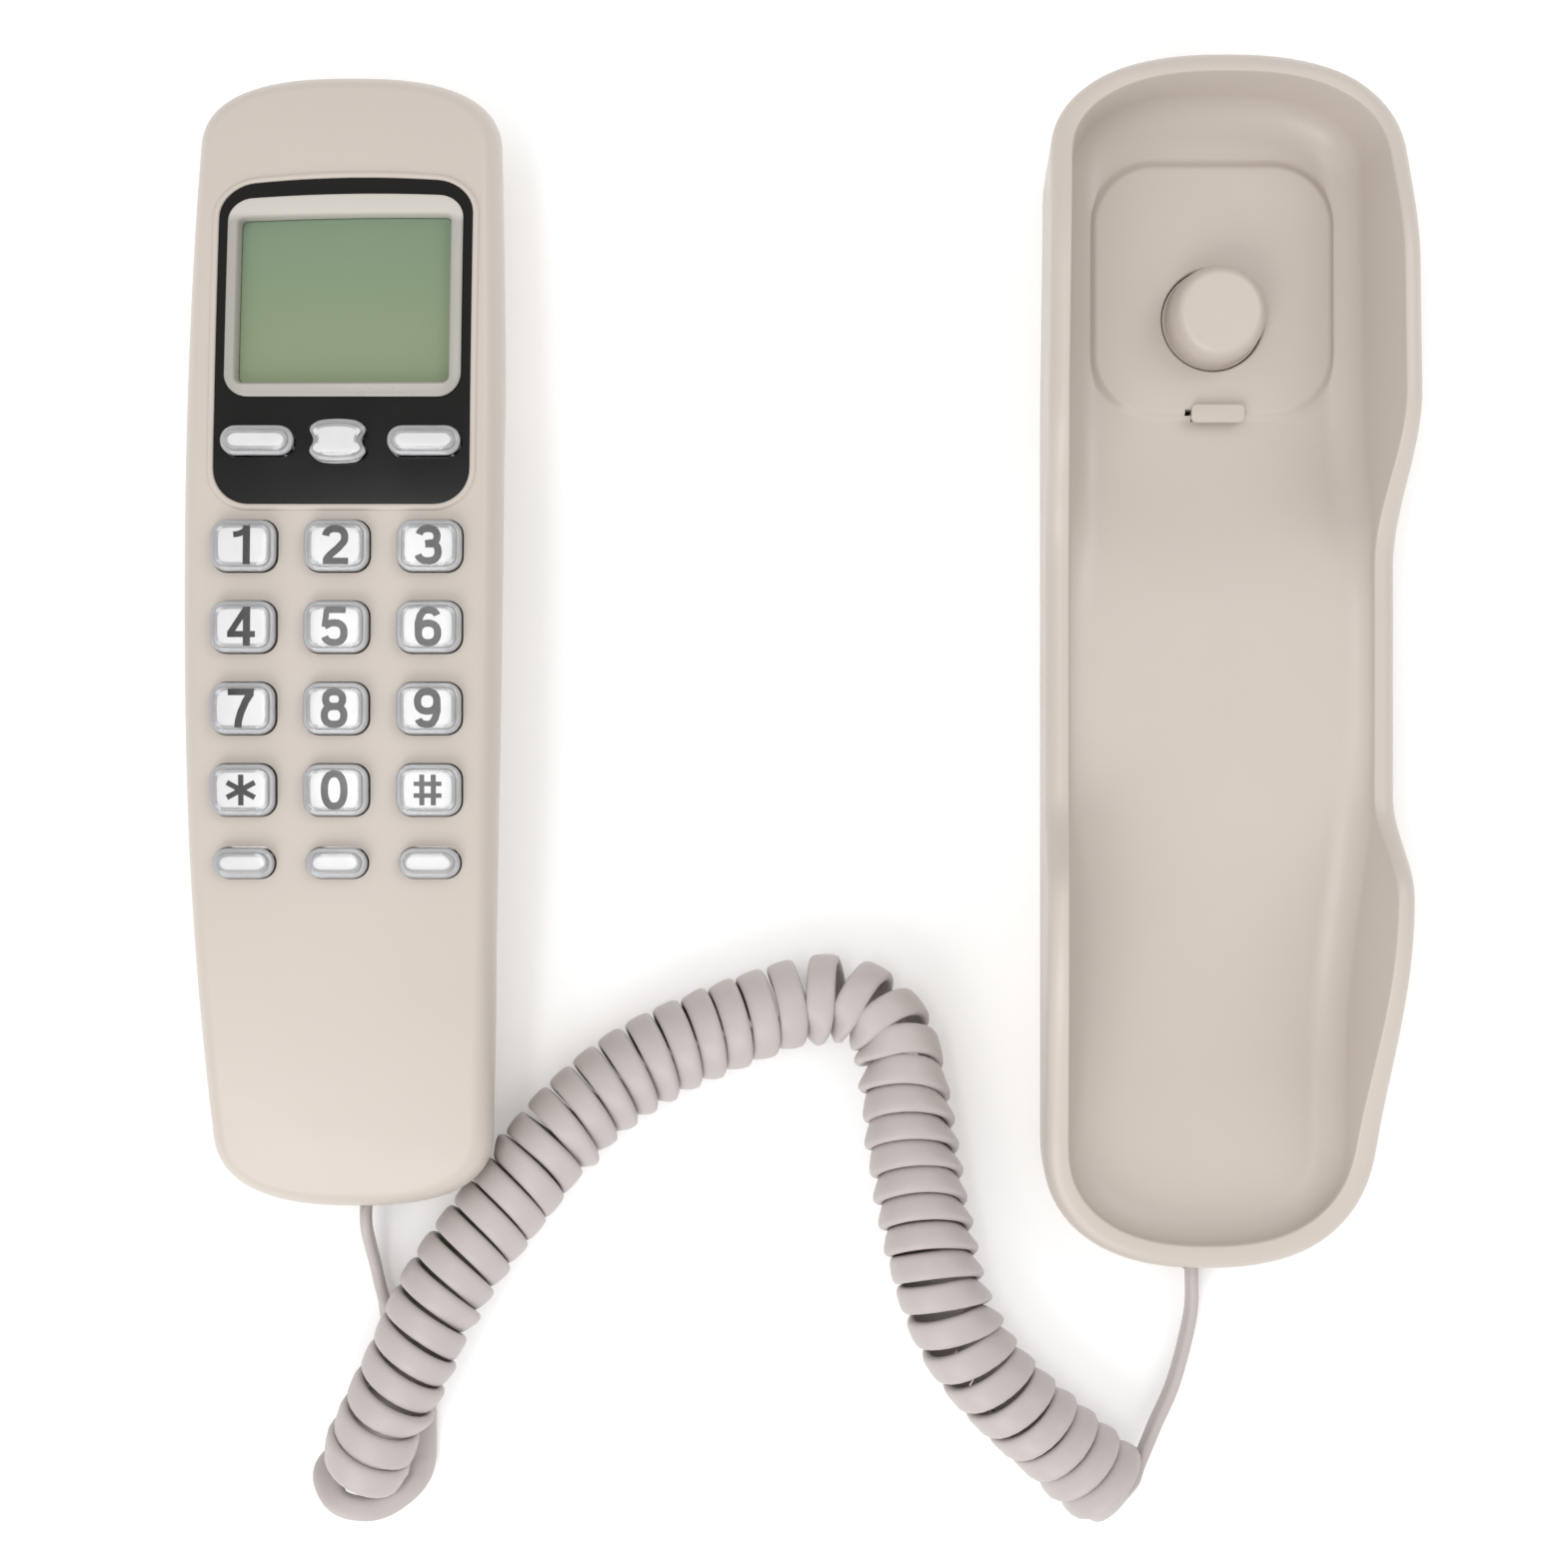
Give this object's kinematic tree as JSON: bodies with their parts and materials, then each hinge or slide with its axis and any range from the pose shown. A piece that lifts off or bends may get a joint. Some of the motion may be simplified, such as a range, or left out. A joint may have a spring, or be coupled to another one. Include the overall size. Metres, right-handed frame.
{
  "type": "slimline wall phone",
  "caption": "Corded slimline phone: wavy-rimmed cradle base for wall or table, a handset with display and crystal keypad lying beside it, and a flat curly cord.",
  "frame": {"origin": "on the back face of the base, midway between its two wall keyholes", "axes": "+Z away from the wall or table, +Y along the base to its ear end, +X to the right; the handset lies at -X, keys up"},
  "size_m": [0.2075, 0.2562, 0.038],
  "materials": {
    "shell": "satin",
    "frame": "satin",
    "black_gloss": "gloss",
    "lcd": "gloss",
    "crystal": "gloss",
    "cord": "satin",
    "clear_plastic": "gloss",
    "board": "matt",
    "steel": "satin",
    "black_matt": "matt",
    "rubber": "matt",
    "silicone": "matt"
  },
  "bodies": {
    "root": {"base_shell": "shell", "base_plate": "shell", "base_pcb": "board", "hook_spring": "steel", "hook_switch": "black_matt", "ringer": "black_matt", "line_jack": "black_matt", "cord_grommet": "cord", "base_screws": "steel", "rubber_feet": "rubber", "base_lead": "cord", "cord_coil": "cord", "handset_lead": "cord"},
    "hook_button": {"hook_button": "shell"},
    "hook_tab": {"hook_tab": "shell"},
    "handset": {"handset_front": "shell", "handset_back": "shell", "display_panel": "black_gloss", "lcd_frame": "frame", "lcd_glass": "lcd", "lcd_module": "steel", "keypad_mat": "silicone", "function_mat": "silicone", "handset_pcb": "board", "ear_receiver": "black_matt", "ear_gasket": "rubber", "microphone": "steel", "mic_boot": "rubber", "handset_jack": "black_matt", "handset_plug": "clear_plastic", "handset_screws": "steel"},
    "key_1": {"key_1": "crystal"},
    "key_2": {"key_2": "crystal"},
    "key_3": {"key_3": "crystal"},
    "key_4": {"key_4": "crystal"},
    "key_5": {"key_5": "crystal"},
    "key_6": {"key_6": "crystal"},
    "key_7": {"key_7": "crystal"},
    "key_8": {"key_8": "crystal"},
    "key_9": {"key_9": "crystal"},
    "key_star": {"key_star": "crystal"},
    "key_0": {"key_0": "crystal"},
    "key_hash": {"key_hash": "crystal"},
    "key_delete": {"key_delete": "crystal"},
    "key_set": {"key_set": "crystal"},
    "key_redial": {"key_redial": "crystal"},
    "key_up": {"key_up": "crystal"},
    "key_out": {"key_out": "crystal"},
    "key_down": {"key_down": "crystal"}
  },
  "joints": [
    {"name": "hook_press", "type": "slide", "parent": "root", "child": "hook_button", "axis": [0, 0, -1], "range_m": [0, 0.005], "stiffness_N_per_m": 200, "springref_m": -0.002, "deforming": ["hook_spring"]},
    {"name": "hook_tab_pull", "type": "slide", "parent": "root", "child": "hook_tab", "axis": [0, 0, 1], "range_m": [0, 0.008]},
    {"name": "handset_lift", "type": "slide", "parent": "root", "child": "handset", "axis": [0, 0, 1], "range_m": [0, 0.06]},
    {"name": "key_1_press", "type": "slide", "parent": "handset", "child": "key_1", "axis": [0, 0, -1], "range_m": [0, 0.0012], "stiffness_N_per_m": 400, "springref_m": -0.001},
    {"name": "key_2_press", "type": "slide", "parent": "handset", "child": "key_2", "axis": [0, 0, -1], "range_m": [0, 0.0012], "stiffness_N_per_m": 400, "springref_m": -0.001},
    {"name": "key_3_press", "type": "slide", "parent": "handset", "child": "key_3", "axis": [0, 0, -1], "range_m": [0, 0.0012], "stiffness_N_per_m": 400, "springref_m": -0.001},
    {"name": "key_4_press", "type": "slide", "parent": "handset", "child": "key_4", "axis": [0, 0, -1], "range_m": [0, 0.0012], "stiffness_N_per_m": 400, "springref_m": -0.001},
    {"name": "key_5_press", "type": "slide", "parent": "handset", "child": "key_5", "axis": [0, 0, -1], "range_m": [0, 0.0012], "stiffness_N_per_m": 400, "springref_m": -0.001},
    {"name": "key_6_press", "type": "slide", "parent": "handset", "child": "key_6", "axis": [0, 0, -1], "range_m": [0, 0.0012], "stiffness_N_per_m": 400, "springref_m": -0.001},
    {"name": "key_7_press", "type": "slide", "parent": "handset", "child": "key_7", "axis": [0, 0, -1], "range_m": [0, 0.0012], "stiffness_N_per_m": 400, "springref_m": -0.001},
    {"name": "key_8_press", "type": "slide", "parent": "handset", "child": "key_8", "axis": [0, 0, -1], "range_m": [0, 0.0012], "stiffness_N_per_m": 400, "springref_m": -0.001},
    {"name": "key_9_press", "type": "slide", "parent": "handset", "child": "key_9", "axis": [0, 0, -1], "range_m": [0, 0.0012], "stiffness_N_per_m": 400, "springref_m": -0.001},
    {"name": "key_star_press", "type": "slide", "parent": "handset", "child": "key_star", "axis": [0, 0, -1], "range_m": [0, 0.0012], "stiffness_N_per_m": 400, "springref_m": -0.001},
    {"name": "key_0_press", "type": "slide", "parent": "handset", "child": "key_0", "axis": [0, 0, -1], "range_m": [0, 0.0012], "stiffness_N_per_m": 400, "springref_m": -0.001},
    {"name": "key_hash_press", "type": "slide", "parent": "handset", "child": "key_hash", "axis": [0, 0, -1], "range_m": [0, 0.0012], "stiffness_N_per_m": 400, "springref_m": -0.001},
    {"name": "key_delete_press", "type": "slide", "parent": "handset", "child": "key_delete", "axis": [0, 0, -1], "range_m": [0, 0.0012], "stiffness_N_per_m": 400, "springref_m": -0.001},
    {"name": "key_set_press", "type": "slide", "parent": "handset", "child": "key_set", "axis": [0, 0, -1], "range_m": [0, 0.0012], "stiffness_N_per_m": 400, "springref_m": -0.001},
    {"name": "key_redial_press", "type": "slide", "parent": "handset", "child": "key_redial", "axis": [0, 0, -1], "range_m": [0, 0.0012], "stiffness_N_per_m": 400, "springref_m": -0.001},
    {"name": "key_up_press", "type": "slide", "parent": "handset", "child": "key_up", "axis": [0, 0, -1], "range_m": [0, 0.0012], "stiffness_N_per_m": 400, "springref_m": -0.001},
    {"name": "key_out_press", "type": "slide", "parent": "handset", "child": "key_out", "axis": [0, 0, -1], "range_m": [0, 0.0012], "stiffness_N_per_m": 400, "springref_m": -0.001},
    {"name": "key_down_press", "type": "slide", "parent": "handset", "child": "key_down", "axis": [0, 0, -1], "range_m": [0, 0.0012], "stiffness_N_per_m": 400, "springref_m": -0.001}
  ]
}
